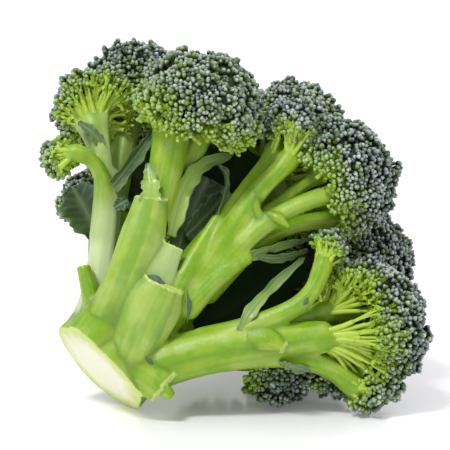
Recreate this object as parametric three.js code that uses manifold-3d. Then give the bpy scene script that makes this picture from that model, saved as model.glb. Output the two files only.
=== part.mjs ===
// A cut broccoli head lying on its side: a short thick stem, the branches that it splits into, the
// bud-covered florets at their ends, and the leaves and trimmed leaf stalks between them.
//
// Millimetres, +Z up, origin at the middle of the head's footprint on the surface it lies on.
// The head is described upright, in a frame of its own: z runs up the stem from the centre of its
// cut face, x and y lie across it. headToFloor then lays it down as it rests.
import * as THREE from 'three';
import { mergeVertices } from 'three/addons/utils/BufferGeometryUtils.js';
import Module from 'manifold-3d';

const wasm = await Module();
wasm.setup();

// ---------------------------------------------------------------- driving dimensions
const GAP = 0.3;                  // clearance kept between neighbouring pieces
const LEAF_THICKNESS = 1.5;
const BUD_CROWN_FOCUS = new THREE.Vector3(0, 0, 10);   // the florets' domes face away from here

// How the head lies: the stem's lean above the floor, its heading about +Z and its roll about itself.
const STEM_LEAN = THREE.MathUtils.degToRad(37);
const STEM_HEADING = THREE.MathUtils.degToRad(33.6);
const STEM_ROLL = THREE.MathUtils.degToRad(29);
const CUT_CENTRE = new THREE.Vector3(-47.7, -44.1, 16);

// Stem and branches: centre line points with radius, [x, y, z, radius], or half width and half
// thickness, [x, y, z, half width, half thickness].
const LIMBS = {
  trunk: [[1, 0, 0, 19.5], [1, 1, 20, 17.5], [-1, 3, 42, 12]],
  front_left: [[-8.5, -10.5, 2, 8], [-12, -16.5, 18.5, 6.5], [-20, -22, 36.5, 6],
    [-26, -25.5, 51.5, 5.5, 5.5], [-33.5, -27.5, 62.5, 6, 5.5], [-40, -28.5, 71, 6.5, 6]],
  left: [[-9.5, -0.5, 4, 8], [-16, -2, 16.5, 6, 6], [-27, -4, 30.5, 5], [-37.5, -6, 42, 5, 4.5],
    [-43.5, -6.5, 49, 4.5]],
  centre: [[3.5, -8, 7, 8.5], [3, -13.5, 22, 8], [1, -19, 39, 8, 7], [0, -22, 53.5, 8, 5.5],
    [-0.5, -24, 62.5, 6.5, 4]],
  lower: [[10.5, -7.5, 4.5, 8.5], [16.5, -14, 16.5, 8], [25.5, -21, 30, 7.5, 7],
    [35, -25, 41.5, 6, 5.5], [43, -28.5, 51, 5.5, 4.5], [46.5, -30, 55, 5.5, 4]],
  core: [[0, 2, 30, 13], [-3, 5, 60, 11], [-6, 6, 88, 13]],
  back_left: [[-6, 9, 8, 8], [-18, 18, 28, 7], [-34, 28, 48, 6.5], [-42, 36, 62, 5]],
  back: [[2, 13, 8, 8.5], [4, 28, 30, 8], [2, 42, 52, 7], [0, 49, 66, 6]],
  back_right: [[10, 6, 8, 8], [17, 10, 26, 7], [26, 16, 44, 6.5], [34, 32, 60, 6], [37, 40, 68, 5]],
};

// Side branches and the fingers that a broad branch splits into, by the branch they belong to.
const FORKS = {
  front_left: {
    front_left_b: [[-15, -17.5, 32, 3.5], [-20.5, -20.5, 49.5, 3.5], [-26, -21.5, 64, 3.5],
      [-30.5, -23, 77, 4], [-34.5, -25, 82.5, 4]],
    front_petiole: [[-10, -17, 9.5, 6, 4], [-15, -22.5, 24, 6.5, 4.5], [-21, -26.5, 36.5, 7.5, 4.5],
      [-25, -27.5, 43, 6, 4], [-28, -28.5, 47, 5.5, 4]],
  },
  left: {
    left_a: [[-31.5, -5, 33.5, 4], [-40.5, -7.5, 43.5, 3.5, 3.5], [-50, -9.5, 51, 3.5, 3],
      [-57.5, -9.5, 56, 5, 3], [-62, -8.5, 59, 6.5, 3]],
    left_b: [[-29, 0.5, 35.5, 4.5], [-38.5, 0, 48.5, 4.5], [-48.5, 1, 63, 5], [-57, 2, 75, 5],
      [-61.5, 2, 81, 5]],
    left_c: [[-38, -8, 41, 3], [-44.5, -11.5, 45.5, 2.5, 2.5], [-51.5, -14, 47, 2.5, 2.5],
      [-57.5, -14.5, 45, 2.5, 2]],
  },
  centre: {
    centre_edge: [[3, -19, 22.5, 3], [-0.5, -24, 35, 3], [-4, -25, 47.5, 2.5], [-7, -26, 59.5, 2]],
    centre_a: [[0, -17.5, 45, 4], [-3.5, -22.5, 60.5, 4], [-6.5, -25.5, 74.5, 3.5], [-8, -27, 87.5, 3],
      [-9.5, -27, 92, 3.5, 3.5]],
    centre_b: [[2.5, -23.5, 46.5, 4, 4], [-1.5, -30, 63.5, 4, 3.5], [-3.5, -32.5, 76.5, 3.5, 3.5],
      [-3.5, -32.5, 86.5, 3.5, 3.5], [-3.5, -33, 91, 4, 3.5]],
    centre_c: [[5, -20.5, 52, 3.5], [3.5, -25, 68.5, 3], [4.5, -27.5, 80, 2.5], [6, -28.5, 89.5, 2.5],
      [8, -30, 99, 2.5]],
    centre_d: [[5.5, -23.5, 46, 4, 4], [5, -30.5, 62.5, 3.5, 3.5], [8, -34, 75.5, 3, 3],
      [11.5, -36, 85.5, 3, 3], [16.5, -36, 95, 3.5, 3.5]],
    centre_e: [[8.5, -17.5, 42, 4, 4], [8.5, -22.5, 58, 3.5, 3.5], [10, -23.5, 70, 3, 3],
      [14.5, -23.5, 81, 3, 3], [23, -23.5, 92.5, 3.5, 3]],
    centre_scar: [[8.5, -21.5, 31.5, 3.5, 3], [8, -25, 42, 3, 2.5], [8.5, -28, 50.5, 2.5, 2],
      [9.5, -30, 56.5, 2.5, 2]],
  },
  lower: {
    lower_a: [[19.5, -20, 28, 4], [27.5, -27.5, 42, 3.5, 3.5], [32.5, -31.5, 54, 3, 3],
      [33, -33.5, 62.5, 3, 3], [31, -34.5, 69.5, 3, 3], [30, -35, 71.5, 3, 3]],
    lower_b: [[26, -17.5, 27, 5], [36.5, -21.5, 38, 4.5], [46.5, -23.5, 46.5, 4],
      [56.5, -23.5, 51.5, 4], [67.5, -22, 54, 4]],
    lower_c: [[25.5, -19, 37.5, 4], [34, -22, 50.5, 3.5], [39.5, -23.5, 60, 3], [42.5, -24, 65, 3]],
    lower_d: [[36.5, -16, 41, 4], [47, -13.5, 50.5, 3.5], [56.5, -10.5, 57, 3.5]],
  },
  back_right: {
    back_right_a: [[20, 12, 31, 6], [33, 6, 42, 5.5], [43, -2, 48, 5]],
    back_right_b: [[27, 19, 48, 5], [25, 27, 66, 5], [22, 34, 86, 4.5]],
  },
};

// Florets: [centre, radius]. Earlier ones keep their shape, and later ones give way where they meet.
const FLORETS = {
  front_left: [[-37, -33, 79], 24],
  front_right: [[12, -26, 101], 23.5],
  centre_small: [[-10, -34, 102], 12.5],
  lower_right: [[54, -24, 70], 25],
  left: [[-65, -4, 65], 17],
  left_small: [[-60, -12, 41], 9],
  lower_right_small: [[27, -34, 78], 8.5],
  lower_right_low: [[70, -22, 59], 12.5],
  top_left: [[-62, 5, 86], 18],
  top: [[-11, 0, 114.5], 19.5],
  right: [[39, 9.5, 95], 26],
  left_back: [[-45, 24, 46], 12],
  under: [[43, -7, 44.5], 16.5],
  under_right: [[58, -9, 58], 13],
  back_left: [[-38, 40, 76], 24],
  back: [[0, 56, 78], 25],
  back_right: [[38, 45, 80], 22],
  crown_left: [[-37, 4, 96], 23],
  crown: [[-1, 22, 108], 26.5],
  crown_back: [[19, 36, 98], 19],
};

// Trimmed leaf stalks: centre line points with half width and half thickness,
// [x, y, z, half width, half thickness], and the direction that the flat side faces.
const STALK_STUBS = {
  upper: { facing: [-0.2, -1, 0.1],
    line: [[-1, -19, 16, 5, 3.5], [-6.5, -23.5, 27, 5.5, 3], [-9.5, -26, 34, 6, 2],
      [-12.5, -27.5, 40.5, 5.5, 1.5]] },
  middle: { facing: [0.1, -1, 0],
    line: [[6, -13.5, 4.5, 6, 4.5], [2.5, -19, 14, 8.5, 4.5], [-1, -24, 23, 9, 4],
      [-3, -27, 29.5, 6.5, 3.5]] },
  left: { facing: [0, -1, 0.2],
    line: [[-11, -8, 9, 4, 4], [-18.5, -8.5, 13.5, 3, 3], [-28, -8.5, 19.5, 2.5, 2]] },
  lower: { facing: [0.5, -1, -0.3],
    line: [[3.5, -12, 5.5, 7, 5], [13.5, -15, 6.5, 7, 4.5], [20.5, -16.5, 7, 6, 3.5]] },
  knob: { facing: [0, -1, 0],
    line: [[29.5, -27.5, 37.5, 3, 2.5], [34, -30, 41, 3.5, 2.5], [39.5, -31, 42, 1.5, 1.5]] },
};

// Leaves: centre line points with half width, [x, y, z, half width], the direction the blade faces,
// and how far its edges curl, as a share of the half width.
const LEAVES = {
  left_broad: { facing: [-0.1, -1, -0.2], curl: 0.35,
    line: [[-30, 9, 35.5, 2], [-37.5, 7, 38, 6.5], [-45, 6.5, 40, 8.5], [-51.5, 7, 41.5, 4]] },
  left_fork: { facing: [-0.3, -1, -0.3], curl: 0.4,
    line: [[-51.5, -11.5, 54, 1], [-56, -13, 54.5, 2], [-60, -14, 54, 2], [-65, -13.5, 53.5, 1]] },
  inner_left: { facing: [0.3, -1, -0.1], curl: 0.6,
    line: [[-40.5, -9.5, 43, 2], [-41, -13.5, 50.5, 2.5], [-42.5, -18, 60, 2], [-44.5, -21.5, 70, 1]] },
  shoulder: { facing: [-0.1, -1, -0.3], curl: 0.35,
    line: [[-27, -31, 46, 3.5], [-30, -32, 49, 3], [-33, -32, 51.5, 2], [-37, -31, 55, 1]] },
  front_wing: { facing: [0.5, -1, 0], curl: 0.4,
    line: [[-14, -23, 44.5, 2.5], [-19.5, -25, 53.5, 3], [-23.5, -25, 62.5, 3.5],
      [-23.5, -23.5, 72.5, 2.5], [-19, -21, 83, 1]] },
  gap_curled: { facing: [0.9, -0.6, 0], curl: 0.6,
    line: [[-7, -24, 59.5, 1], [-11, -24, 68.5, 1.5], [-15.5, -22, 74.5, 2], [-22, -19, 77, 1.5]] },
  gap_broad: { facing: [0, -1, 0.1], curl: 0.25,
    line: [[-9, -14, 46, 3], [-13, -14, 54.5, 7.5], [-16.5, -12, 64, 9], [-19.5, -8.5, 75, 5]] },
  centre_low: { facing: [0.8, -0.7, -0.4], curl: 0.4,
    line: [[9, -29.5, 56.5, 1.5], [12, -29, 64, 2], [16, -26.5, 72, 1.5], [20.5, -24, 79.5, 1]] },
  lower_narrow: { facing: [0.1, -1, -0.3], curl: 0.4,
    line: [[25.5, -28.5, 36.5, 1.5], [23, -30, 43.5, 2], [22.5, -28.5, 57, 1.5],
      [23.5, -26.5, 72.5, 1]] },
  knob_leaf: { facing: [0.9, -0.4, -0.6], curl: 0.3,
    line: [[42.5, -26.5, 39.5, 1.5], [46, -28, 41, 2.5], [52, -27, 45, 1]] },
  back_broad: { facing: [0.1, 1, 0], curl: 0.3,
    line: [[14, 20, 26, 4], [20, 28, 40, 9], [21, 38, 55, 10], [19, 47, 66, 4]] },
  back_narrow: { facing: [-0.4, 1, 0], curl: 0.4,
    line: [[-12, 21, 24, 3], [-15, 30, 40, 6], [-17, 40, 55, 6], [-19, 48, 66, 2]] },
};

const FINISH = {
  stalk: { color: 0xa9c45a, roughness: 0.42, metalness: 0 },
  buds: { color: 0x4c6b50, roughness: 0.75, metalness: 0 },
  leaf: { color: 0x3f6a45, roughness: 0.5, metalness: 0 },
};

// ---------------------------------------------------------------- how the head lies
function layingDown() {
  const level = Math.cos(STEM_LEAN);
  const zAxis = new THREE.Vector3(
    level * Math.cos(STEM_HEADING), level * Math.sin(STEM_HEADING), Math.sin(STEM_LEAN));
  const down = new THREE.Vector3(0, 0, -1).addScaledVector(zAxis, zAxis.z).normalize();
  const side = new THREE.Vector3().crossVectors(zAxis, down);
  const xAxis = down.multiplyScalar(Math.cos(STEM_ROLL)).addScaledVector(side, -Math.sin(STEM_ROLL));
  const yAxis = new THREE.Vector3().crossVectors(zAxis, xAxis);
  return new THREE.Matrix4().makeBasis(xAxis, yAxis, zAxis).setPosition(CUT_CENTRE);
}
const headToFloor = layingDown();

// ---------------------------------------------------------------- solids
function solid(geometry) {
  const bare = geometry.clone().applyMatrix4(headToFloor);
  for (const name of Object.keys(bare.attributes)) {
    if (name !== 'position') bare.deleteAttribute(name);
  }
  const merged = mergeVertices(bare, 1e-4);
  return new wasm.Manifold(new wasm.Mesh({
    numProp: 3,
    vertProperties: new Float32Array(merged.attributes.position.array),
    triVerts: new Uint32Array(merged.index.array),
  }));
}

function largestPiece(body) {
  const pieces = body.decompose();
  return pieces.reduce((best, piece) => (piece.volume() > best.volume() ? piece : best));
}

function toGeometry(body) {
  const mesh = body.getMesh();
  const geometry = new THREE.BufferGeometry();
  geometry.setAttribute('position', new THREE.BufferAttribute(new Float32Array(mesh.vertProperties), 3));
  geometry.setIndex(new THREE.BufferAttribute(new Uint32Array(mesh.triVerts), 1));
  geometry.computeVertexNormals();
  return geometry;
}

// ---------------------------------------------------------------- shapes
// The frame of a line at t: its point, the direction across the flat side and that side's normal.
function frameAt(curve, t, facing) {
  const along = curve.getTangent(t);
  const across = new THREE.Vector3().crossVectors(along, facing).normalize();
  const normal = new THREE.Vector3().crossVectors(across, along);
  return { point: curve.getPoint(t), along, across, normal };
}

function curves(line) {
  const centre = new THREE.CatmullRomCurve3(line.map(([x, y, z]) => new THREE.Vector3(x, y, z)));
  const halves = line.map(([, , , wide, thick = wide]) => new THREE.Vector3(wide, thick, 0));
  const size = new THREE.CatmullRomCurve3(halves);
  return { centre, size };
}

// A stalk: a cylinder bent along its centre line, with its own width and thickness all the way.
function stalk(centre, size, facing, sides, steps, grow) {
  const geometry = new THREE.CylinderGeometry(1, 1, 1, sides, steps);
  const position = geometry.attributes.position;
  const vertex = new THREE.Vector3();
  for (let i = 0; i < position.count; i += 1) {
    vertex.fromBufferAttribute(position, i);
    const t = vertex.y + 0.5;
    const { point, along, across, normal } = frameAt(centre, t, facing);
    const half = size.getPoint(t);
    point.addScaledVector(across, vertex.x * (half.x + grow));
    point.addScaledVector(normal, vertex.z * (half.y + grow));
    point.addScaledVector(along, grow * Math.sign(vertex.y) * (Math.abs(vertex.y) > 0.499 ? 1 : 0));
    position.setXYZ(i, point.x, point.y, point.z);
  }
  return solid(geometry);
}

const TOWARDS_FRONT = new THREE.Vector3(0.02, -0.94, -0.34);

function limb(name, grow = 0) {
  const { centre, size } = curves(LIMBS[name]);
  const sides = name === 'trunk' ? 20 : 10;
  let body = stalk(centre, size, TOWARDS_FRONT, sides, 6, grow);
  for (const line of Object.values(FORKS[name] ?? {})) {
    const fork = curves(line);
    body = body.add(stalk(fork.centre, fork.size, TOWARDS_FRONT, 8, 5, grow));
  }
  return body;
}

function stub(name, grow = 0) {
  const { facing, line } = STALK_STUBS[name];
  const { centre, size } = curves(line);
  return stalk(centre, size, new THREE.Vector3(...facing), 10, 4, grow);
}

// A floret: a ball of buds, broken up by shallow lobes, that narrows underneath towards its stalk.
function floret(name, grow = 0) {
  const [[x, y, z], radius] = FLORETS[name];
  const centre = new THREE.Vector3(x, y, z);
  const outward = centre.clone().sub(BUD_CROWN_FOCUS).normalize();
  const geometry = new THREE.SphereGeometry(1, radius > 15 ? 14 : 10, radius > 15 ? 10 : 7);
  const position = geometry.attributes.position;
  const vertex = new THREE.Vector3();
  for (let i = 0; i < position.count; i += 1) {
    vertex.fromBufferAttribute(position, i).normalize();
    const underneath = THREE.MathUtils.smoothstep(-vertex.dot(outward), 0.1, 0.95);
    const lobes = Math.sin(4 * vertex.x + x) * Math.sin(4 * vertex.y + y) * Math.sin(4 * vertex.z + z);
    const reach = radius * (1 - 0.35 * underneath + 0.05 * lobes) + grow;
    vertex.multiplyScalar(reach).add(centre);
    position.setXYZ(i, vertex.x, vertex.y, vertex.z);
  }
  return solid(geometry);
}

// A leaf: a flat plate bent along its midrib, with its edges curled towards the side it faces.
function leaf(name, grow = 0) {
  const { facing, line, curl } = LEAVES[name];
  const { centre, size } = curves(line);
  const front = new THREE.Vector3(...facing);
  const geometry = new THREE.BoxGeometry(2, 1, 1, 2, 6, 1);
  const position = geometry.attributes.position;
  const vertex = new THREE.Vector3();
  for (let i = 0; i < position.count; i += 1) {
    vertex.fromBufferAttribute(position, i);
    const t = vertex.y + 0.5;
    const { point, along, across, normal } = frameAt(centre, t, front);
    const halfWidth = size.getPoint(t).x;
    point.addScaledVector(across, vertex.x * (halfWidth + grow));
    point.addScaledVector(normal, vertex.z * (LEAF_THICKNESS + 2 * grow) + curl * vertex.x ** 2 * halfWidth);
    point.addScaledVector(along, grow * Math.sign(vertex.y) * (Math.abs(vertex.y) > 0.499 ? 1 : 0));
    position.setXYZ(i, point.x, point.y, point.z);
  }
  return solid(geometry);
}

// Everything below the surface that the head lies on, which its soft underside is flattened by.
function underFloor() {
  const depth = 60;
  const geometry = new THREE.BoxGeometry(400, 400, depth).translate(0, 0, -depth / 2);
  return solid(geometry.applyMatrix4(headToFloor.clone().invert()));
}

// ---------------------------------------------------------------- the head
// Pieces are placed in order, and each gives way, with a gap, to those placed before it.
const head = new THREE.Group();
const placed = [];
const floor = underFloor();

function place(name, make, key, finish) {
  let body = make(key).subtract(floor);
  for (const neighbour of placed) body = body.subtract(neighbour);
  placed.push(make(key, GAP));
  const mesh = new THREE.Mesh(toGeometry(largestPiece(body)), new THREE.MeshStandardMaterial(FINISH[finish]));
  mesh.name = name;
  head.add(mesh);
}

place('stem', limb, 'trunk', 'stalk');
for (const name of Object.keys(LIMBS).slice(1)) place(`branch_${name}`, limb, name, 'stalk');
for (const name of Object.keys(STALK_STUBS)) place(`leaf_stalk_${name}`, stub, name, 'stalk');
for (const name of Object.keys(FLORETS)) place(`floret_${name}`, floret, name, 'buds');
for (const name of Object.keys(LEAVES)) place(`leaf_${name}`, leaf, name, 'leaf');

export default head;
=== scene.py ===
"""A cut broccoli head lying on a pale glossy surface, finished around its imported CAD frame.

Lengths are millimetres in the head's own frame, as in the CAD: z runs up the stem from the centre of
its cut face, x and y lie across it. to_row() turns them into metres in the row frame.
"""
import math

import bpy
import numpy as np
import openvdb
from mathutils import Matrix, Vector


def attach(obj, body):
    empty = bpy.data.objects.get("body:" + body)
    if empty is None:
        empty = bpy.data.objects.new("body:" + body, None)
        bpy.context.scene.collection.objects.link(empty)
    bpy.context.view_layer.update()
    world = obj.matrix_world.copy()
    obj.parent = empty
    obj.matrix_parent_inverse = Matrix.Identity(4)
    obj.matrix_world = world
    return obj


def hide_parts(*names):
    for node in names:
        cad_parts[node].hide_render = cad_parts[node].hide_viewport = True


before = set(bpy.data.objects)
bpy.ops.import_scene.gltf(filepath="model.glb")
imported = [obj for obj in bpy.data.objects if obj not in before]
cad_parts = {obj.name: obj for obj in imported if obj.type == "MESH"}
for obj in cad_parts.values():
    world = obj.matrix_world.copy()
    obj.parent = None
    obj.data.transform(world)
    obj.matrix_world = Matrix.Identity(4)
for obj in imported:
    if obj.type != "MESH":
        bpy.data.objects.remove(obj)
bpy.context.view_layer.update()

# ---------------------------------------------------------------- how the head lies
STEM_LEAN, STEM_HEADING, STEM_ROLL = np.radians([37.0, 33.6, 29.0])
CUT_CENTRE = np.array([-47.7, -44.1, 16.0])


def head_axes():
    """The head's x, y and z directions in the row frame, as columns."""
    z_axis = np.array([math.cos(STEM_LEAN) * math.cos(STEM_HEADING),
                       math.cos(STEM_LEAN) * math.sin(STEM_HEADING), math.sin(STEM_LEAN)])
    down = unit(np.array([0, 0, -1.0]) + z_axis * z_axis[2])
    x_axis = math.cos(STEM_ROLL) * down - math.sin(STEM_ROLL) * np.cross(z_axis, down)
    return np.stack([x_axis, np.cross(z_axis, x_axis), z_axis], axis=1)


def unit(v):
    v = np.asarray(v, float)
    return v / np.maximum(np.linalg.norm(v, axis=-1, keepdims=True), 1e-12)


AXES = head_axes()


def to_row(points):
    return (CUT_CENTRE + np.asarray(points, float) @ AXES.T) / 1000


# ---------------------------------------------------------------- the head's plan, in millimetres
# Most points in these tables were not chosen by hand: a program worked them out from places
# picked in the photo, with guessed depths.
# Stem and branches: centre line points with half width and half thickness (or one radius).
LIMBS = {
    "trunk": [(1, 0, -2, 19.5), (1, 1, 20, 17.5), (-1, 3, 42, 12)],
    "front_left": [(-8.3, -10.7, 2.2, 8, 8), (-12.1, -16.6, 18.4, 6.5, 6.5), (-19.8, -22.2, 36.7, 6, 6),
                   (-26.2, -25.5, 51.4, 5.6, 5.5), (-33.5, -27.4, 62.5, 6, 5.5),
                   (-39.9, -28.3, 70.9, 6.5, 6)],
    "left": [(-9.3, -.6, 3.8, 8, 8), (-16.2, -2.1, 16.5, 6.2, 6), (-27.1, -3.9, 30.3, 5, 5),
             (-37.3, -6.2, 42.2, 4.8, 4.6), (-43.3, -6.5, 48.9, 4.5, 4.5)],
    "centre": [(3.3, -8.1, 6.8, 8.5, 8.5), (3.0, -13.6, 22.0, 8, 8), (1.1, -18.8, 39.1, 7.8, 7),
               (-0.1, -22.0, 53.7, 7.8, 5.4), (-0.6, -24.2, 62.7, 6.5, 4.2)],
    "lower": [(10.5, -7.3, 4.6, 8.5, 8.5), (16.3, -13.8, 16.7, 8, 8), (25.3, -20.8, 30.2, 7.6, 7.2),
              (35.2, -25.0, 41.7, 6.2, 5.6), (42.8, -28.4, 51.2, 5.6, 4.4),
              (46.7, -29.9, 55.2, 5.4, 3.8)],
    "core": [(0, 2, 30, 13), (-3, 5, 60, 11), (-6, 6, 88, 13)],
    "back_left": [(-6, 9, 8, 8), (-18, 18, 28, 7), (-34, 28, 48, 6.5), (-42, 36, 62, 5)],
    "back": [(2, 13, 8, 8.5), (4, 28, 30, 8), (2, 42, 52, 7), (0, 49, 66, 6)],
    "back_right": [(10, 6, 8, 8), (17, 10, 26, 7), (26, 16, 44, 6.5), (34, 32, 60, 6), (37, 40, 68, 5)],
}
# Side branches and the fingers the broad branches split into, with the same five numbers.
FORKS = {
    "front_left_b": [(-15.1, -17.4, 32.2, 3.5, 3.5), (-20.7, -20.4, 49.3, 3.6, 3.6),
                     (-26.2, -21.5, 63.9, 3.6, 3.6),
                     (-30.7, -23.1, 76.9, 4, 4), (-34.4, -25.2, 82.6, 4, 4)],
    "front_petiole": [(-10.1, -17, 9.3, 6, 4), (-15.2, -22.3, 23.9, 6.6, 4.5),
                      (-20.9, -26.4, 36.6, 7.4, 4.5),
                      (-24.8, -27.6, 42.8, 6.2, 4.2), (-27.9, -28.7, 47.2, 5.3, 3.8)],
    "left_a": [(-31.3, -5.0, 33.3, 4, 4), (-40.4, -7.7, 43.5, 3.7, 3.6),
               (-49.9, -9.5, 51.2, 3.7, 3.2), (-57.7, -9.4, 56.2, 4.9, 3.2), (-62.0, -8.6, 58.8, 6.5, 3)],
    "left_b": [(-28.8, .6, 35.3, 4.5, 4.5), (-38.5, 0, 48.7, 4.5, 4.5), (-48.3, 1.2, 62.8, 4.8, 4.8),
               (-56.8, 2.1, 75, 5, 5), (-61.5, 2, 80.9, 5, 5)],
    "left_c": [(-37.9, -7.8, 40.9, 3, 3), (-44.7, -11.6, 45.3, 2.7, 2.6),
               (-51.7, -13.8, 46.9, 2.5, 2.3), (-57.7, -14.6, 44.8, 2.6, 2.2)],
    "centre_edge": [(3.2, -19.2, 22.6, 3, 3), (-.6, -23.8, 35.2, 2.8, 2.8), (-4, -25, 47.5, 2.4, 2.4),
                    (-6.9, -26.2, 59.3, 1.8, 1.8)],
    "centre_a": [(-.1, -17.7, 44.9, 4.2, 4.2), (-3.5, -22.3, 60.3, 3.8, 3.8), (-6.4, -25.4, 74.7, 3.3, 3.3),
                 (-8.2, -26.9, 87.5, 3.1, 3.1), (-9.4, -27.2, 92, 3.4, 3.3)],
    "centre_b": [(2.3, -23.6, 46.4, 4.2, 4), (-1.6, -29.9, 63.7, 3.8, 3.6), (-3.5, -32.5, 76.6, 3.4, 3.3),
                 (-3.5, -32.7, 86.5, 3.4, 3.3), (-3.7, -32.9, 91, 3.9, 3.6)],
    "centre_c": [(4.8, -20.4, 52.2, 3.4, 3.4), (3.3, -25.2, 68.5, 2.8, 2.8), (4.3, -27.4, 80.2, 2.3, 2.3),
                 (5.8, -28.7, 89.7, 2.3, 2.3), (7.8, -29.9, 98.8, 2.5, 2.5)],
    "centre_d": [(5.7, -23.4, 46, 4.2, 4), (5.2, -30.5, 62.4, 3.6, 3.4), (7.8, -34.2, 75.7, 3.2, 3),
                 (11.5, -35.8, 85.7, 3.1, 3), (16.6, -35.9, 94.9, 3.6, 3.3)],
    "centre_e": [(8.6, -17.6, 41.8, 4.2, 4), (8.4, -22.4, 57.9, 3.6, 3.4), (10.1, -23.7, 70.1, 3.1, 3),
                 (14.6, -23.5, 81.2, 3.1, 3), (22.9, -23.4, 92.7, 3.3, 3.2)],
    "centre_scar": [(8.5, -21.3, 31.5, 3.4, 3), (7.8, -25.2, 42.1, 3, 2.6), (8.5, -28.2, 50.4, 2.6, 2.2),
                    (9.7, -29.8, 56.3, 2.4, 1.8)],
    "lower_a": [(19.3, -20.1, 28.1, 4, 4), (27.6, -27.3, 42.2, 3.6, 3.4), (32.6, -31.6, 54.1, 3.2, 3),
                (33.2, -33.7, 62.5, 3, 2.8), (30.9, -34.4, 69.4, 3, 2.8), (29.9, -34.8, 71.6, 3.2, 2.8)],
    "lower_b": [(26.1, -17.5, 26.9, 5, 5), (36.7, -21.6, 38.2, 4.4, 4.4), (46.7, -23.5, 46.5, 4, 4),
                (56.5, -23.3, 51.7, 3.8, 3.8), (67.6, -21.9, 54, 4, 4)],
    "lower_c": [(25.5, -19.1, 37.3, 4, 4), (33.8, -21.9, 50.6, 3.4, 3.4), (39.5, -23.7, 60, 3.2, 3.2),
                (42.6, -24.2, 65, 3, 3)],
    "lower_d": [(36.3, -16.1, 40.8, 4, 4), (47, -13.3, 50.5, 3.6, 3.6), (56.7, -10.4, 57.2, 3.5, 3.5)],
    "nub": [(17.5, -16.2, 6.5, 2.2, 2.2), (20.9, -17.2, 6.6, 2.2, 2), (23.2, -17.8, 6.4, 2.2, 1.9)],
    "scar_ridge": [(-4.5, -33.3, 73.2, 0.9, 0.9), (-0.9, -34.5, 70.4, 1.2, 1.1),
                   (3.0, -33.8, 68.6, 1, 0.9)],
    "scar_lip": [(4.7, -35.3, 71.4, 0.8, 0.8), (8.0, -37.1, 71.7, 1.4, 1.2), (11.9, -36.3, 72.5, 1, 0.9)],
    "back_right_a": [(20, 12, 31, 6, 6), (33, 6, 42, 5.5, 5.5), (43, -2, 48, 5, 5)],
    "back_right_b": [(27, 19, 48, 5, 5), (25, 27, 66, 4.8, 4.8), (22, 34, 86, 4.5, 4.5)],
}
# Florets: centre, radius, the way the dome faces, the widest angle from it that buds reach, the
# stalks that feed it, how yellow its buds are (below 0: painted shade, which darkens its buds and
# inside) and how far its inside is drawn in underneath.
FLORETS = {
    "front_left": ((-37, -33, 79), 24, (-.43, -.40, .8), 117, ["front_left", "front_left_b"], .3, .65),
    "front_right": ((12, -26, 101), 23.5, (.24, -.05, .97), 127,
                    ["centre_c", "centre_d", "centre_e"], .05, .65),
    "centre_small": ((-10, -34, 102), 12.5, (-.41, .2, .89), 143, ["centre_a", "centre_b"], .1, .6),
    "lower_right": ((54, -24, 70), 25, (.42, .25, .85), 115, ["lower", "lower_c"], .05, .9),
    "left": ((-65, -4, 65), 17, (-.47, .79, .41), 122, ["left_a"], .4, .85),
    "left_small": ((-60, -12, 41), 9, (-.3, .92, -.15), 125, ["left_c"], .6, .6),
    "lower_right_small": ((27, -34, 78), 8.5, (0, .3, .9), 116, ["lower_a"], .1, .6),
    "lower_right_low": ((70, -22, 59), 12.5, (.8, .1, .3), 128, ["lower_b"], .35, .6),
    "top_left": ((-62, 5, 86), 18, (-.3, .2, .94), 136, ["left_b"], .3, .5),
    "top": ((-11, 0, 114.5), 19.5, (-.1, 0, 1), 130, ["core"], .2, .3),
    "right": ((39, 9.5, 95), 26, (.4, .1, .9), 130, ["back_right_b"], .05, .3),
    "left_back": ((-45, 24, 46), 12, (-.8, .4, .3), 120, ["back_left"], .2, .3),
    "under": ((43, -7, 44.5), 16.5, (.8, -.1, .2), 125, ["back_right_a"], -.6, .3),
    "under_right": ((58, -9, 58), 13, (.8, -.1, .3), 120, ["lower_d"], .15, .3),
    "back_left": ((-38, 40, 76), 24, (-.45, .5, .75), 122, ["back_left"], .1, .3),
    "back": ((0, 56, 78), 25, (0, .7, .7), 122, ["back"], .1, .3),
    "back_right": ((38, 45, 80), 22, (.5, .5, .6), 122, ["back_right"], .1, .3),
    "crown_left": ((-37, 4, 96), 23, (-.4, .1, .9), 128, ["core"], .1, .2),
    "crown": ((-1, 22, 108), 26.5, (0, .3, .95), 128, ["core"], .1, .2),
    "crown_back": ((19, 36, 98), 19, (.2, .5, .85), 128, ["back_right_b"], .1, .3),
}
# Trimmed leaf stalks: their flat side, and centre line points with half width and half thickness.
STALK_STUBS = {
    "upper": ((-.2, -1, .1), [(-1.1, -19, 16.2, 5, 3.5), (-6.3, -23.4, 26.8, 5.6, 3),
                              (-9.7, -26, 34, 5.8, 2.2),
                              (-12.6, -27.4, 40.6, 5.4, 1.6)]),
    "middle": ((.1, -1, 0), [(6.1, -13.6, 4.4, 6, 4.5), (2.5, -19.2, 13.9, 8.4, 4.6),
                             (-.8, -24.1, 22.9, 9.2, 4.2),
                             (-3.2, -27, 29.5, 6.6, 3.4)]),
    "left": ((0, -1, .2), [(-11.2, -7.8, 8.9, 4, 3.8), (-18.5, -8.5, 13.7, 3.2, 3),
                           (-28, -8.5, 19.5, 2.3, 2.2)]),
    "lower": ((.5, -1, -.3), [(3.7, -11.8, 5.3, 7, 5), (13.3, -14.9, 6.5, 7, 4.4),
                              (20.6, -16.6, 6.8, 6, 3.6)]),
    "knob": ((0, -1, 0), [(29.4, -27.7, 37.5, 3.2, 2.6), (34.2, -30, 40.8, 3.4, 2.6),
                          (39.6, -31, 42.2, 1.6, 1.4)]),
}
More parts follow.
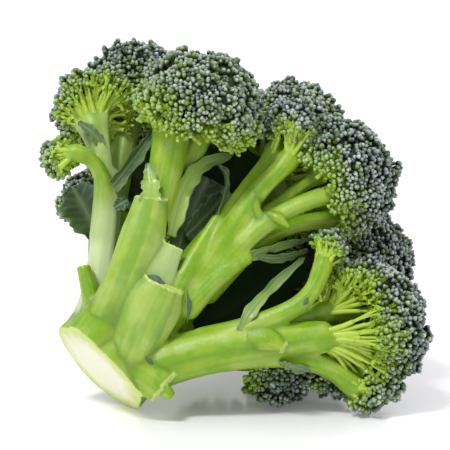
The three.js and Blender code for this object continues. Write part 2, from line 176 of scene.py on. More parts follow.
# Leaves: the way the blade faces, how far its edges curl, how green its foot is, and its midrib with
# half widths. A leaf may carry up to three blades, and a green of -1 is a blade painted near-black as painted
# shade.
LEAVES = {
    "left_broad": [((-.1, -1, -.2), .35, .1, [(-30.1, 9.1, 35.3, 2.2), (-37.6, 7.1, 37.8, 6.5),
                                              (-44.9, 6.4, 39.9, 8.5), (-51.5, 6.8, 41.7, 4)])],
    "left_fork": [((-.3, -1, -.3), .4, .3, [(-51.5, -11.5, 53.9, 1), (-55.9, -12.8, 54.5, 1.9),
                                            (-60.2, -13.8, 54.2, 1.9), (-64.9, -13.5, 53.5, .8)])],
    "inner_left": [((.3, -1, -.1), .6, .2, [(-40.3, -9.6, 42.9, 1.8), (-41, -13.5, 50.6, 2.4),
                                            (-42.4, -18, 60, 2.2), (-44.4, -21.7, 70.1, 1)]),
                   ((0, -1, -.3), .3, 0, [(-34.5, -12.2, 41.3, .9), (-34, -14, 43.2, 2.2),
                                          (-33.3, -14.9, 45.8, 1.2)])],
    "shoulder": [((-.1, -1, -.3), .35, 1, [(-26.9, -30.9, 45.9, 3.4), (-30, -32, 48.9, 3.2),
                                           (-33.1, -31.9, 51.6, 2.2), (-36.8, -31, 54.8, .8)])],
    "front_wing": [((.5, -1, 0), .4, 1, [(-14.1, -23, 44.6, 2.4), (-19.7, -25.1, 53.3, 3.2),
                                          (-23.4, -25.2, 62.3, 3.4), (-23.6, -23.5, 72.3, 2.4),
                                          (-18.8, -20.9, 82.8, 1)])],
    "gap_curled": [((.9, -.6, 0), .6, .3, [(-7.1, -24.1, 59.3, 1.2), (-10.8, -24.2, 68.4, 1.7),
                                           (-15.5, -22.2, 74.6, 1.9), (-22, -18.8, 77, 1.3)])],
    "gap_broad": [((0, -1, .1), .25, .1, [(-8.9, -13.9, 46.1, 3), (-12.8, -13.8, 54.4, 7.5),
                                          (-16.4, -11.9, 64, 9), (-19.5, -8.4, 74.8, 5)]),
                  ((.4, -1, .1), .3, .1, [(-10.3, -17.7, 50.5, 2), (-10.4, -16.2, 58.3, 4.5),
                                          (-10.7, -14.7, 65.9, 4.2), (-11.5, -12.8, 72.1, 2)]),
                  ((0, -1, -.3), .15, -1, [(-8.5, -2.9, 56.7, 5), (-10.3, -3.6, 70.5, 11),
                                           (-14.1, -6.0, 82.7, 12), (-18.5, -7.5, 92.7, 8)])],
    "centre_low": [((.8, -.7, -.4), .4, .5, [(9.2, -29.3, 56.4, 1.6), (12.2, -28.8, 63.8, 1.8),
                                             (16.2, -26.5, 71.9, 1.7), (20.5, -23.9, 79.5, .8)]),
                   ((.8, -.7, -.4), .3, .3, [(11.5, -28.4, 59.6, 1.2), (16.8, -27, 64.7, 1.8),
                                             (20.8, -25.3, 71.6, 1.5), (22.6, -24.8, 76.2, .7)])],
    "lower_narrow": [((.1, -1, -.3), .4, .7, [(25.6, -28.5, 36.7, 1.7), (23.2, -29.9, 43.3, 2),
                                              (22.7, -28.4, 56.8, 1.7), (23.7, -26.7, 72.6, .9)])],
    "knob_leaf": [((.9, -.4, -.6), .3, .3, [(42.5, -26.3, 39.5, 1.6), (46.2, -27.9, 41, 2.4),
                                            (52.1, -27.1, 44.8, 1.2)])],
    "back_broad": [((.1, 1, 0), .3, .2, [(14, 20, 26, 4), (20, 28, 40, 9), (21, 38, 55, 10),
                   (19, 47, 66, 4)]),
                   ((0, -1, -.3), .2, -1, [(15.2, -4.9, 33.1, 4), (18.7, -6.0, 47.8, 9),
                                           (21.8, -6.9, 62.1, 10), (25.0, -8.3, 77.6, 5)])],
    "back_narrow": [((-.4, 1, 0), .4, .2, [(-12, 21, 24, 3), (-15, 30, 40, 6), (-17, 40, 55, 6),
                    (-19, 48, 66, 2)])],
}
# Dark dried edges of leaf left on the trimmed stalks, drawn as thin strips with their half width.
DRIED_EDGES = [
    [(-10.1, -27.9, 27.4, 0.8), (-7.0, -29.2, 28.3, 1.2), (-3.5, -29.1, 29.5, 0.7)],
    [(3.0, -27.5, 33.8, 0.4), (7.3, -25.4, 31.0, 0.7), (11.1, -22.8, 26.8, 0.4)],
    [(8.9, -20.0, 9.0, 0.2), (10.6, -20.6, 9.1, 0.7), (12.7, -20.2, 9.5, 0.2)],
    [(34.4, -35.6, 56.2, 0.3), (34.2, -36.2, 57.8, 0.7), (33.5, -35.8, 59.7, 0.4)],
]


# ---------------------------------------------------------------- curves and meshes
def smooth_line(points, count):
    """A Catmull-Rom curve through rows of numbers, sampled evenly in its own parameter."""
    p = np.asarray(points, float)
    p = np.vstack([2 * p[0] - p[1], p, 2 * p[-1] - p[-2]])
    s = np.linspace(0, len(p) - 3 - 1e-9, count)
    i = s.astype(int)
    u = (s - i)[:, None]
    a, b, c, d = p[i], p[i + 1], p[i + 2], p[i + 3]
    return .5 * (2 * b + (c - a) * u + (2 * a - 5 * b + 4 * c - d) * u ** 2
                 + (3 * b - a - 3 * c + d) * u ** 3)


def line_frames(centre, facing):
    """Directions along, across and out of a line whose flat side faces the given way."""
    along = unit(np.gradient(centre, axis=0))
    across = unit(np.cross(along, np.broadcast_to(facing, along.shape)))
    return along, across, np.cross(across, along)


def make_mesh(name, points, faces, materials, attributes=None, face_material=None):
    """A smooth-shaded mesh object from head-frame points; attributes are one number per vertex."""
    mesh = bpy.data.meshes.new(name)
    flat = [np.asarray(f, np.int32).reshape(len(f), -1) for f in faces if len(f)]
    sizes = np.concatenate([np.full(len(f), f.shape[1], np.int32) for f in flat])
    corners = np.concatenate([f.ravel() for f in flat])
    mesh.vertices.add(len(points))
    mesh.vertices.foreach_set("co", to_row(points).astype(np.float32).ravel())
    mesh.loops.add(len(corners))
    mesh.loops.foreach_set("vertex_index", corners)
    mesh.polygons.add(len(sizes))
    mesh.polygons.foreach_set("loop_start", np.concatenate([[0], np.cumsum(sizes)[:-1]]).astype(np.int32))
    mesh.polygons.foreach_set("use_smooth", np.ones(len(sizes), bool))
    for material in materials:
        mesh.materials.append(material)
    if face_material is not None:
        mesh.polygons.foreach_set("material_index", np.asarray(face_material, np.int32))
    for key, values in (attributes or {}).items():
        mesh.attributes.new(key, "FLOAT", "POINT").data.foreach_set("value", np.asarray(values, np.float32))
    mesh.update(calc_edges=True)
    mesh.validate()
    piece = bpy.data.objects.new(name, mesh)
    bpy.context.scene.collection.objects.link(piece)
    return piece


def wobble(points, scale, seed):
    """Smooth noise from -1 to 1 over points, with lumps about the given size."""
    waves = np.random.default_rng(seed)
    total = np.zeros(len(points))
    for _ in range(7):
        direction = unit(waves.normal(size=3)) * (2 * math.pi / scale) * waves.uniform(.5, 1.1)
        total += np.sin(points @ direction + waves.uniform(0, 6.3))
    return total / 7 * 1.6


# ---------------------------------------------------------------- stem, branches and leaf stalks
VOXEL = .65
FILLET = .7
FRONT = (.02, -.94, -.34)


class Limb:
    """A stalk along a line: half sizes all the way, shallow ribs round it, and flat or rounded ends."""

    def __init__(self, line, facing=FRONT, flat_end=False, ribs=.05, seed=0, count=22):
        samples = smooth_line(line, count)
        self.centre = samples[:, :3]
        self.half = samples[:, 3:] if samples.shape[1] == 5 else np.repeat(samples[:, 3:], 2, axis=1)
        self.along, self.across, self.out = line_frames(self.centre, facing)
        self.flat_end = flat_end
        own = np.random.default_rng(seed)
        self.phase = own.uniform(0, 6.28, 12)
        self.ribs = ribs
        self.low = (self.centre - self.half.max() * 1.2).min(0) - 4
        self.high = (self.centre + self.half.max() * 1.2).max(0) + 4

    def measure(self, points):
        """Signed distance, share of the length and angle round the line, for each point."""
        last = len(self.centre) - 1
        best = np.full(len(points), 1e9)
        t = np.zeros(len(points))
        for i in range(last):
            step = self.centre[i + 1] - self.centre[i]
            rel = points - self.centre[i]
            u = np.clip(rel @ (step / (step @ step)), 0, 1)
            rel -= u[:, None] * step
            gap = np.einsum("ij,ij->i", rel, rel)
            near = gap < best
            best = np.where(near, gap, best)
            t = np.where(near, i + u, t)
        index = np.minimum(t.astype(np.int32), last - 1)
        share = (t - index)[:, None]

        def at(values):
            return values[index] * (1 - share) + values[index + 1] * share
        rel = points - at(self.centre)
        side, out, ahead = (np.einsum("ij,ij->i", rel, at(v)) for v in (self.across, self.out, self.along))
        half = at(self.half)
        angle = np.arctan2(out, side)
        rib = 1 + self.ribs * (.6 * np.cos(3 * angle + self.phase[0]) + .5 * np.cos(5 * angle + self.phase[1])
                               + .35 * np.cos(8 * angle + self.phase[2]))
        stretch = np.hypot(side / half[:, 0], out / half[:, 1]) / rib
        reach = np.hypot(side, out)
        distance = np.where(stretch > 1e-3, reach * (1 - 1 / np.maximum(stretch, 1e-3)), -half.min(1))
        past = np.where((t <= 0) | (t >= last), np.abs(ahead), 0)
        if self.flat_end:
            distance = np.where(past > 1e-3, np.maximum(distance, past), distance)
        else:
            rounded = np.hypot(np.maximum(distance + half[:, 1], 0), past) - half[:, 1]
            distance = np.where(past > 1e-3, rounded, distance)
        return distance, t / last, angle


def all_limbs():
    limbs = {}
    for i, (name, line) in enumerate({**LIMBS, **FORKS}.items()):
        limbs[name] = Limb(line, flat_end=name == "front_petiole",
                           ribs=.035 if name == "trunk" else .055, seed=i)
    for i, (name, (facing, line)) in enumerate(STALK_STUBS.items()):
        limbs["stub_" + name] = Limb(line, facing, flat_end=True, ribs=.06, seed=80 + i)
    return limbs


def add_fans(limbs, domes):
    """The short stalks that spread from the end of each branch into its floret."""
    for dome in domes:
        dome.roots = [limbs[feed] for feed in dome.feeds]
        count = max(5, int(dome.radius * (.85 if dome.tuck > .55 else .5)))
        heads = sphere_points(2 * count, dome.own.uniform(0, 6))
        side = unit(np.cross(dome.facing, (.31, .52, .8)))
        heads = heads @ np.stack([side, np.cross(dome.facing, side), dome.facing])
        heads = heads[dome.polar(heads) < dome.cover - .15]
        ends = np.array([limbs[f].centre[-1] for f in dome.feeds])
        for k, head in enumerate(heads):
            end = dome.centre + head * dome.radius * .62
            feed = limbs[dome.feeds[int(np.argmin(np.linalg.norm(ends - end, axis=1)))]]
            size = min(feed.half[-1].mean(), dome.radius * .2)
            start, heading = feed.centre[-1] - feed.along[-1] * 2, feed.along[-1]
            bend = start + heading * np.linalg.norm(end - start) * .35
            s = np.linspace(0, 1, 6)[:, None]
            line = (1 - s) ** 2 * start + 2 * s * (1 - s) * bend + s ** 2 * end
            radius = size * .55 + (.07 * dome.radius ** .5 * 2.6 - size * .55) * s
            name = f"fan_{dome.name}_{k}"
            limbs[name] = Limb(np.hstack([line, radius]), ribs=.07, seed=500 + k, count=9)
            dome.fan.append(limbs[name])


def stalk_field(limbs):
    """Signed distance to the whole stalk on a grid: the limbs run together with small fillets."""
    low = np.min([l.low for l in limbs.values()], axis=0)
    high = np.max([l.high for l in limbs.values()], axis=0)
    low[2] = -3
    shape = np.ceil((high - low) / VOXEL).astype(int) + 1
    total = np.zeros(shape)
    for limb in limbs.values():
        a = np.maximum(((limb.low - low) / VOXEL).astype(int), 0)
        b = np.minimum(((limb.high - low) / VOXEL).astype(int) + 2, shape)
        axes = [low[k] + VOXEL * np.arange(a[k], b[k]) for k in range(3)]
        points = np.stack(np.meshgrid(*axes, indexing="ij"), -1).reshape(-1, 3)
        distance, _, _ = limb.measure(points)
        block = tuple(slice(a[k], b[k]) for k in range(3))
        total[block] += np.exp(-np.clip(distance, -12, 40) / FILLET).reshape(b - a)
    distance = -FILLET * np.log(np.maximum(total, 1e-9))
    axes = [low[k] + VOXEL * np.arange(shape[k]) for k in range(3)]
    grid = np.stack(np.meshgrid(*axes, indexing="ij"), -1)
    above_cut = grid[..., 2]
    above_floor = grid @ AXES[2] + CUT_CENTRE[2]
    return np.maximum(np.maximum(distance, -above_cut), -above_floor), low


def surface(field, low):
    grid = openvdb.FloatGrid(6.0)
    grid.copyFromArray(np.clip(field, -6, 6).astype(np.float32))
    points, triangles, quads = grid.convertToPolygons(isovalue=0, adaptivity=0)
    return points * VOXEL + low, triangles, quads


def streaks(limb, share, angle):
    """Darker green lines that run along a limb, from 0 to 1."""
    p = limb.phase
    drift = 1.2 * np.sin(5 * share + p[3])
    broad = (np.cos(2 * angle + p[4] + drift) + .8 * np.cos(3 * angle + p[5] - drift)
             + .6 * np.cos(5 * angle + p[6]))
    fine = np.cos(11 * angle + p[7] + 3 * np.sin(4 * share + p[8])) + .7 * np.cos(19 * angle + p[9])
    return np.clip(.5 + .2 * broad + .1 * fine, 0, 1)


STRIP_LONG, STRIP_ROUND, STRIP_THICK = 14, 8, .45


def strip_mesh(line):
    """A flattened strip along a line, its last column the half width."""
    samples = smooth_line(line, STRIP_LONG)
    _, across, out = line_frames(samples[:, :3], FRONT)
    ends = np.sin(np.linspace(.15, math.pi - .15, STRIP_LONG))[:, None]
    angles = np.linspace(0, 2 * math.pi, STRIP_ROUND, endpoint=False)
    points = np.stack([samples[:, :3] + ends * (math.cos(a) * samples[:, 3:] * across
                                                + math.sin(a) * STRIP_THICK * out)
                       for a in angles], 1).reshape(-1, 3)
    quads = [(j * STRIP_ROUND + i, j * STRIP_ROUND + (i + 1) % STRIP_ROUND,
              (j + 1) * STRIP_ROUND + (i + 1) % STRIP_ROUND, (j + 1) * STRIP_ROUND + i)
             for j in range(STRIP_LONG - 1) for i in range(STRIP_ROUND)]
    return points, np.array(quads)


PALE = {"stub_upper": .5, "stub_middle": .12, "left": 1.0, "left_a": .4, "left_b": .2, "front_petiole": .1}


def branch_of(name):
    """The branch that a limb belongs to; the painted crease shade only shows between different ones."""
    for branch in ("fan", "front_left", "left", "centre", "lower", "back_left", "back_right", "back"):
        if name == branch or name.startswith(branch + "_"):
            return branch
    return name


def make_stalk(limbs, materials):
    field, low = stalk_field(limbs)
    points, triangles, quads = surface(field, low)
    weight = np.zeros(len(points))
    streak = np.zeros(len(points))
    pale = np.zeros(len(points))
    groups = {}
    cut = (points[:, 2] < .4).astype(float)
    for name, limb in limbs.items():
        near = np.flatnonzero(np.all((points > limb.low) & (points < limb.high), axis=1))
        distance, share, angle = limb.measure(points[near])
        w = np.exp(-np.clip(distance, -12, 40) / FILLET)
        weight[near] += w
        own = groups.setdefault(branch_of(name), np.zeros(len(points)))
        own[near] += w
        streak[near] += w * streaks(limb, share, angle)
        pale[near] += w * PALE.get(name, 0)
        if limb.flat_end:
            ahead = (points[near] - limb.centre[-1]) @ limb.along[-1]
            cut[near] = np.maximum(cut[near], .8 * ((ahead > -.35) & (distance < .8) & (share > .97)))
    weight = np.maximum(weight, 1e-9)
    fans = groups.pop("fan")
    # painted shade: where different branches run together this crease mask darkens the stalk
    crease = np.clip(2.2 * (1 - (np.max(list(groups.values()), axis=0) + fans) / weight), 0, 1) ** 1.8
    fields = [streak / weight, cut, pale / weight, crease, np.hypot(points[:, 0] - 1, points[:, 1]) / 19.5]
    extra_points, extra_quads, offset = [points], [], len(points)
    for line in DRIED_EDGES:
        pts, qs = strip_mesh(line)
        extra_points.append(pts)
        extra_quads.append(qs + offset)
        offset += len(pts)
    extra = offset - len(points)
    faces = [triangles, quads, np.vstack(extra_quads)]
    which = np.concatenate([np.zeros(len(triangles) + len(quads)), np.ones(len(faces[2]))])
    return make_mesh("stalk", np.vstack(extra_points), faces, materials,
                     dict(zip(("streak", "cut", "pale", "crease", "from_centre"),
                              [np.concatenate([f, np.zeros(extra)]) for f in fields])), which)


# ---------------------------------------------------------------- florets
BUD_SPACING = 1.74
CLUSTER_SPACING = 4.4
LOBE_SPACING = 11.5
BUD_PROFILE = [(.45, -1.2), (1.0, -.1), (.86, .62), (.30, 1.12)]
BUD_SIDES = 6


def sphere_points(count, turn):
    """Evenly spread directions, as a spiral from pole to pole, with the pole on +z."""
    k = np.arange(count) + .5
    polar = np.arccos(1 - 2 * k / count)
    round_ = k * math.pi * (3 - math.sqrt(5)) + turn
    return np.stack([np.sin(polar) * np.cos(round_), np.sin(polar) * np.sin(round_), np.cos(polar)], 1)


def spread(radius, spacing, jitter, own):
    """Jittered directions with the given spacing on a sphere of that radius."""
    count = max(6, int(4 * math.pi * radius ** 2 / (.87 * spacing ** 2)))
    points = sphere_points(count, own.uniform(0, 6.28))
    return unit(points + own.normal(size=points.shape) * jitter * spacing / radius)


def nearest_two(directions, centres):
    """For each direction, its nearest centre and the distances to the nearest two."""
    near = np.empty(len(directions), int)
    first, second = np.empty(len(directions)), np.empty(len(directions))
    for a in range(0, len(directions), 2000):
        gap = 2 - 2 * directions[a:a + 2000] @ centres.T
        order = np.argpartition(gap, 1, axis=1)[:, :2]
        two = np.sqrt(np.maximum(np.take_along_axis(gap, order, 1), 0))
        near[a:a + 2000] = np.where(two[:, 0] > two[:, 1], order[:, 1], order[:, 0])
        first[a:a + 2000], second[a:a + 2000] = two.min(1), two.max(1)
    return near, first, second


class Dome:
    """The shape of one floret's surface: a ball with lobes that part in shallow creases."""

    def __init__(self, name, seed):
        centre, self.radius, facing, cover, self.feeds, self.yellow, self.tuck = FLORETS[name]
        self.name, self.centre, self.facing = name, np.array(centre, float), unit(facing)
        self.cover = math.radians(cover)
        self.own = np.random.default_rng(seed)
        self.lobes = spread(self.radius, LOBE_SPACING, .25, self.own)
        self.lobe_lift = self.own.uniform(-.8, .5, len(self.lobes))
        self.fan = []

    def polar(self, directions):
        return np.arccos(np.clip(directions @ self.facing, -1, 1))

    def reach(self, directions):
        lobe, first, second = nearest_two(directions, self.lobes)
        crease = np.exp(-((second - first) * self.radius / 2.6) ** 2)
        return self.radius - .9 - 1.5 * crease - .03 * (first * self.radius) ** 2 + self.lobe_lift[lobe]


def buried(points, domes, skip, slack):
    """Which points lie inside another floret."""
    inside = np.zeros(len(points), bool)
    for other in domes:
        if other is skip:
            continue
        rel = points - other.centre
        gap = np.linalg.norm(rel, axis=1)
        near = gap < other.radius + 1
        if near.any():
            open_side = other.polar(unit(rel[near])) > other.cover - .1
            inside[near] |= (gap[near] < other.reach(unit(rel[near])) - slack) & ~open_side
    return inside


def bud_mesh(centres, normals, sizes, lengths, own):
    """Little blunt ovals, all in one mesh: points, quads and the height on each bud."""
    side = unit(np.cross(normals, unit(own.normal(size=normals.shape))))
    other = np.cross(normals, side)
    angles = np.arange(BUD_SIDES) * 2 * math.pi / BUD_SIDES
    ring = np.cos(angles)[:, None, None] * side + np.sin(angles)[:, None, None] * other
    ring *= np.where(np.arange(BUD_SIDES) % 2, .84, 1.08)[:, None, None]
    layers = [centres + normals * (h * lengths)[:, None] + ring * (r * sizes)[:, None]
              for r, h in BUD_PROFILE]
    rings = len(BUD_PROFILE)
    count = len(centres)
    points = np.stack(layers, 0).transpose(2, 0, 1, 3).reshape(count, rings * BUD_SIDES, 3)
    base = (np.arange(count) * rings * BUD_SIDES)[:, None, None]
    quads = []
    for j in range(rings - 1):
        for i in range(BUD_SIDES):
            a, b = j * BUD_SIDES + i, j * BUD_SIDES + (i + 1) % BUD_SIDES
            quads.append((a, b, b + BUD_SIDES, a + BUD_SIDES))
    last = (rings - 1) * BUD_SIDES
    quads += [(last, last + 1, last + 2, last + 3), (last, last + 3, last + 4, last + 5),
              (3, 2, 1, 0), (5, 4, 3, 0)]
    quads = (base + np.array(quads)[None]).reshape(-1, 4)
    height = np.repeat(np.linspace(0, 1, rings), BUD_SIDES)
    return points.reshape(-1, 3), quads, np.tile(height, count)


def tube_mesh(starts, bends, ends, first, last, sides, steps):
    """Many thin tapered tubes along quadratic curves, in one mesh."""
    count = len(starts)
    s = np.linspace(0, 1, steps + 1)[:, None, None]
    line = (1 - s) ** 2 * starts + 2 * s * (1 - s) * bends + s ** 2 * ends
    heading = unit(2 * (1 - s) * (bends - starts) + 2 * s * (ends - bends))
    side = unit(np.cross(heading, np.array([.37, .61, .7])))
    other = np.cross(heading, side)
    radius = first + (last - first) * s[..., 0]
    angles = np.arange(sides) * 2 * math.pi / sides
    points = np.stack([line + radius[..., None] * (math.cos(a) * side + math.sin(a) * other)
                       for a in angles], 2)
    points = points.transpose(1, 0, 2, 3).reshape(-1, 3)
    base = (np.arange(count) * (steps + 1) * sides)[:, None, None]
    quads = [(j * sides + i, j * sides + (i + 1) % sides,
              (j + 1) * sides + (i + 1) % sides, (j + 1) * sides + i)
             for j in range(steps) for i in range(sides)]
    return points, (base + np.array(quads)[None]).reshape(-1, 4)


def dome_core(dome):
    """The inside of a floret, just under its buds, drawn in underneath; its near-black green is painted
    shade.
    """
    rings, sides = 26, 48
    polar = np.linspace(0.02, math.pi - .02, rings)[:, None]
    round_ = np.linspace(0, 2 * math.pi, sides, endpoint=False)[None]
    side = unit(np.cross(dome.facing, (.3, .5, .8)))
    other = np.cross(dome.facing, side)
    directions = (np.cos(polar)[..., None] * dome.facing + np.sin(polar)[..., None]
                  * (np.cos(round_)[..., None] * side + np.sin(round_)[..., None] * other)).reshape(-1, 3)
    under = np.clip((dome.polar(directions) - dome.cover + .85) / .8, 0, 1)
    reach = (dome.reach(directions) - 2.1) * (1 - dome.tuck * under * under * (3 - 2 * under))
    points = dome.centre + directions * reach[:, None]
    quads = [(j * sides + i, (j + 1) * sides + i,
              (j + 1) * sides + (i + 1) % sides, j * sides + (i + 1) % sides)
             for j in range(rings - 1) for i in range(sides)]
    return points, np.array(quads), under


def spray_mesh(dome, tips, cluster, own):
    """Stalks that spread from the ends of the branches, then part again to tips round a floret's rim."""
    member = np.unique(cluster, return_inverse=True)[1]
    heads = np.stack([np.bincount(member, tips[:, k]) for k in range(3)], 1) / np.bincount(member)[:, None]
    ends, heading, side, out, size = (np.array([getattr(root, key)[-1] for root in dome.roots])
                                      for key in ("centre", "along", "across", "out", "half"))
    pick = np.argmin(np.linalg.norm(heads[:, None] - ends[None], axis=2), axis=1)
    ends, heading, side, out, size = (v[pick] for v in (ends, heading, side, out, size))
    toward = unit(heads - ends)
    length = np.linalg.norm(heads - ends, axis=1, keepdims=True)
    push = size * own.uniform(.4, .9, (len(heads), 1))
    push *= np.stack([np.einsum("ij,ij->i", toward, side), np.einsum("ij,ij->i", toward, out)], 1)
    starts = ends - heading * own.uniform(.5, 3.5, (len(heads), 1)) + side * push[:, :1] + out * push[:, 1:]
    bends = starts + heading * length * own.uniform(.2, .38, (len(heads), 1)) + own.normal(0, .4, heads.shape)
    forks = starts + (heads - starts) * own.uniform(.45, .65, (len(heads), 1)) + heading * length * .12
    stems = tube_mesh(starts, bends, forks, own.uniform(1.1, 1.5, len(heads)), .8, 7, 4)
    onward = unit(forks - bends)[member]
    reach = np.linalg.norm(tips - forks[member], axis=1, keepdims=True)
    return [stems, tube_mesh(forks[member], forks[member] + onward * reach * .4, tips, .62, .36, 5, 3)]


def make_floret(dome, domes, materials):
    own = dome.own
    clusters = spread(dome.radius, CLUSTER_SPACING, .25, own)
    buds = spread(dome.radius, BUD_SPACING, .2, own)
    cluster, first, second = nearest_two(buds, clusters)
    buds = unit(buds + .13 * (clusters[cluster] - buds))
    polar = dome.polar(buds)
    ragged = dome.cover - .12 + .12 * np.sin(7 * clusters[cluster] @ np.array([1, .7, .4])
                                             + own.uniform(0, 6))
    rim = np.clip((polar - ragged + .6) / .6, 0, 1)
    lift = -1.5 * np.exp(-((second - first) * dome.radius / 1.2) ** 2) + own.normal(0, .24, len(buds))
    cluster_lift = own.normal(0, .42, len(clusters)) - .7 * (own.uniform(size=len(clusters)) < .12)
    reach = dome.reach(clusters[cluster] * .5 + buds * .5) + lift + cluster_lift[cluster] - 1.2 * rim ** 2
    centres = dome.centre + buds * reach[:, None]
    keep = (polar < ragged) & ~buried(centres, domes, dome, .6) & (to_row(centres)[:, 2] > .0009)
    keep &= own.uniform(size=len(buds)) > .22 * rim
    cluster, rim = cluster[keep], rim[keep]
    buds, centres = buds[keep], centres[keep]
    splay = unit(buds * 1.0 + (buds - clusters[cluster]) * dome.radius * .25 + own.normal(0, .16, buds.shape))
    sizes = own.uniform(.78, 1.06, len(buds)) * (1 - .12 * rim)
    lengths = sizes * own.uniform(1.0, 1.3, len(buds))
    points, quads, height = bud_mesh(centres, splay, sizes, lengths, own)
    per_bud = BUD_SIDES * len(BUD_PROFILE)
    patch = wobble(centres, 30, 5)
    low_down = np.clip((polar[keep] - ragged[keep] + .85) / .85, 0, 1) ** 2
    yellow = np.clip(max(dome.yellow, 0) * (.5 + .5 * patch) + 1.15 * low_down
                     + own.normal(0, .12, len(buds)), 0, 1)
    # painted shade: a yellow below 0 darkens every bud of a floret that sits in shade
    tone = np.clip(.5 + .6 * min(dome.yellow, 0) + own.normal(0, .27, len(buds))
                   + .25 * wobble(centres, 8, 8), 0, 1)
    parts = [(points, quads, 0, height, np.repeat(tone, per_bud), np.repeat(yellow, per_bud))]

    core_points, core_quads, under = dome_core(dome)
    # painted shade: a yellow below 0 keeps this inside at its darkest
    parts.append((core_points, core_quads, 1, under, np.zeros(len(core_points)),
                  np.clip(dome.yellow + .5 * under, 0, 1)))

    edge = np.clip((dome.polar(clusters) - dome.cover + 1.0) / 1.0, 0, 1)
    shown = np.flatnonzero((edge > .02) & (dome.polar(clusters) < dome.cover + .05))
    heads = dome.centre + clusters[shown] * (dome.reach(clusters[shown]) * .86 - .8 * edge[shown])[:, None]
    tips = np.array([fan.centre[-1] for fan in dome.fan])
    necks = np.array([fan.centre[len(fan.centre) // 2] for fan in dome.fan])
    pick = np.argmin(np.linalg.norm(heads[:, None] - tips[None], axis=2), axis=1)
    side_stalks = tube_mesh(necks[pick], tips[pick], heads, 1.15, .75, 7, 5)
    slim = rim > .01
    where = np.full(len(clusters), -1)
    where[shown] = np.arange(len(shown))
    slim &= where[cluster] >= 0
    at = where[cluster[slim]]
    ends = centres[slim] - splay[slim] * .5
    starts = heads[at] + (tips[pick[at]] - heads[at]) * own.uniform(.0, .45, (slim.sum(), 1))
    twigs = tube_mesh(starts, (starts + ends) / 2 + (buds[slim] - splay[slim]) * .5, ends, .5, .36, 5, 2)
    details = [side_stalks, twigs]
    if dome.tuck > .55:
        rim_buds = (polar[keep] > ragged[keep] - .4) & (own.uniform(size=len(buds)) < .85)
        details += spray_mesh(dome, centres[rim_buds] - splay[rim_buds] * .5, cluster[rim_buds], own)
    for pts, qs in details:
        parts.append((pts, qs, 2, np.ones(len(pts)), np.full(len(pts), .5), np.ones(len(pts))))

    offset, all_points, all_quads, which, values = 0, [], [], [], [[], [], []]
    for pts, qs, slot, *columns in parts:
        all_points.append(pts)
        all_quads.append(qs + offset)
        which.append(np.full(len(qs), slot))
        offset += len(pts)
        for store, column in zip(values, columns):
            store.append(column)
    return make_mesh("bunch_" + dome.name, np.vstack(all_points), [np.vstack(all_quads)], materials,
                     dict(zip(("bud_height", "tone", "yellow"), map(np.concatenate, values))),
                     np.concatenate(which))


# ---------------------------------------------------------------- leaves
LEAF_LONG, LEAF_WIDE, LEAF_THICK = 48, 17, .5


def blade_mesh(facing, curl, green, line, own):
    """One leaf blade as a thin closed sheet with a midrib, veins and a wavy edge."""
    samples = smooth_line(line, LEAF_LONG)
    _, across, out = line_frames(samples[:, :3], facing)
    x = np.linspace(-1, 1, LEAF_WIDE)
    share = np.linspace(0, 1, LEAF_LONG)
    ragged = 1 + .12 * np.sin(share * 17 + own.uniform(0, 6)) + .07 * np.sin(share * 41 + own.uniform(0, 6))
    half = samples[:, 3] * ragged
    half[-1] *= .15
    half[-2] *= .6
    wave = (.22 * np.sin(share * 13 + own.uniform(0, 6))[:, None]
            + .12 * np.sin(share * 31 + own.uniform(0, 6))[:, None]) * np.abs(x) ** 2.5 * np.sign(x + .001)
    lift = (curl * x ** 2 + wave) * half[:, None]
    rib = np.exp(-(x / .12) ** 2)
    veins = (np.clip(np.cos((share[:, None] * 8 - np.abs(x) * 1.3) * 2 * math.pi), 0, 1) ** 6
             * (np.abs(x) > .06))
    centre = samples[:, None, :3] + across[:, None] * (x * half[:, None])[..., None]
    body = (LEAF_THICK * (.5 + .5 * (1 - np.abs(x)) ** .5) * (1 + max(green, 0) * (1 - share[:, None]))
            + rib * .8 * (1 - share[:, None]))
    front = centre + out[:, None] * (lift + body / 2 - .12 * veins * LEAF_THICK)[..., None]
    back = centre + out[:, None] * (lift - body / 2)[..., None]
    grid = np.arange(LEAF_LONG * LEAF_WIDE).reshape(LEAF_LONG, LEAF_WIDE)
    a, b, c, d = (g.ravel() for g in (grid[:-1, :-1], grid[:-1, 1:], grid[1:, 1:], grid[1:, :-1]))
    shift = LEAF_LONG * LEAF_WIDE
    edge = np.concatenate([grid[0, :], grid[1:, -1], grid[-1, -2::-1], grid[-2:0:-1, 0]])
    nxt = np.roll(edge, -1)
    quads = np.vstack([np.stack([a, b, c, d], 1), np.stack([d, c, b, a], 1) + shift,
                       np.stack([nxt, edge, edge + shift, nxt + shift], 1)])
    shape = veins.shape
    # a green below 0 is painted shade: the ribs fade and the foot value stays at that green, which the leaf
    # material paints near-black
    fields = [np.maximum(np.broadcast_to(rib, shape), .45 * veins) * (1 - .7 * abs(green)),
              np.broadcast_to(np.abs(x) ** 6, shape),
              np.broadcast_to(green * (np.clip(1.9 - 1.7 * share[:, None], 0, 1) if green > 0 else 1), shape)]
    return (np.vstack([front.reshape(-1, 3), back.reshape(-1, 3)]), quads,
            [np.tile(f.ravel(), 2) for f in fields])


def make_leaf(name, material):
    own = np.random.default_rng(sum(map(ord, name)))
    points, quads, fields, offset = [], [], [[], [], []], 0
    for facing, curl, green, line in LEAVES[name]:
        pts, qs, values = blade_mesh(facing, curl, green, line, own)
        points.append(pts)
        quads.append(qs + offset)
        offset += len(pts)
        for store, value in zip(fields, values):
            store.append(value)
    return make_mesh("blade_" + name, np.vstack(points), [np.vstack(quads)], [material],
                     dict(zip(("rib", "rim", "foot"), map(np.concatenate, fields))))


